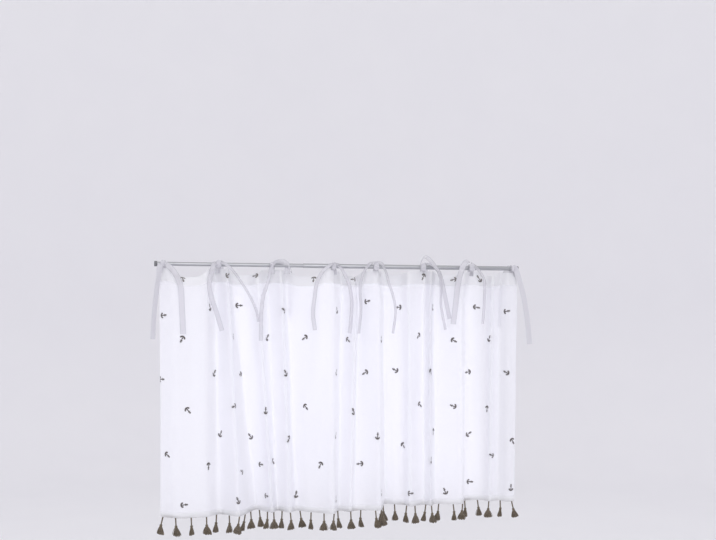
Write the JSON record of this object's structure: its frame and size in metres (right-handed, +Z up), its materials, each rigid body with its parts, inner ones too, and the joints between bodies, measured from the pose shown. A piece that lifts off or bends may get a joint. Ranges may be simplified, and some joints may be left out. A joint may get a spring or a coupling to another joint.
{
  "type": "cafe curtain with its rod",
  "caption": "Short sheer curtain panel with a doubled heading and hem, tied to a round telescopic rod by tape ties, with a row of small yarn tassels along its hem.",
  "frame": {"origin": "middle of the flat outer face of the rod's left end cap, on the rod's axis", "axes": "+X along the rod to its right end, -Y out of the front of the cloth, +Z up"},
  "size_m": [0.9547, 0.1323, 0.6773],
  "materials": {
    "cloth": "sheer white cotton voile with small scattered taupe motifs",
    "tape": "flat white cotton tape",
    "yarn": "matt taupe cotton yarn",
    "rod": "polished thin tube",
    "caps": "matt grey end cap"
  },
  "bodies": {
    "root": {"panel": "cloth", "rod_inner": "rod", "rod_outer": "rod", "cap_left": "caps", "cap_right": "caps", "braid": "yarn", "tie_1": "tape", "tie_2": "tape", "tie_3": "tape", "tie_4": "tape", "tie_5": "tape", "tie_6": "tape", "tie_7": "tape", "tie_8": "tape", "tassel_01": "yarn", "tassel_02": "yarn", "tassel_03": "yarn", "tassel_04": "yarn", "tassel_05": "yarn", "tassel_06": "yarn", "tassel_07": "yarn", "tassel_08": "yarn", "tassel_09": "yarn", "tassel_10": "yarn", "tassel_11": "yarn", "tassel_12": "yarn", "tassel_13": "yarn", "tassel_14": "yarn", "tassel_15": "yarn", "tassel_16": "yarn", "tassel_17": "yarn", "tassel_18": "yarn", "tassel_19": "yarn", "tassel_20": "yarn", "tassel_21": "yarn", "tassel_22": "yarn", "tassel_23": "yarn", "tassel_24": "yarn", "tassel_25": "yarn", "tassel_26": "yarn", "tassel_27": "yarn", "tassel_28": "yarn", "tassel_29": "yarn", "tassel_30": "yarn", "tassel_31": "yarn", "tassel_32": "yarn", "tassel_33": "yarn", "tassel_34": "yarn", "tassel_35": "yarn", "tassel_36": "yarn", "tassel_37": "yarn", "tassel_38": "yarn"}
  },
  "joints": []
}
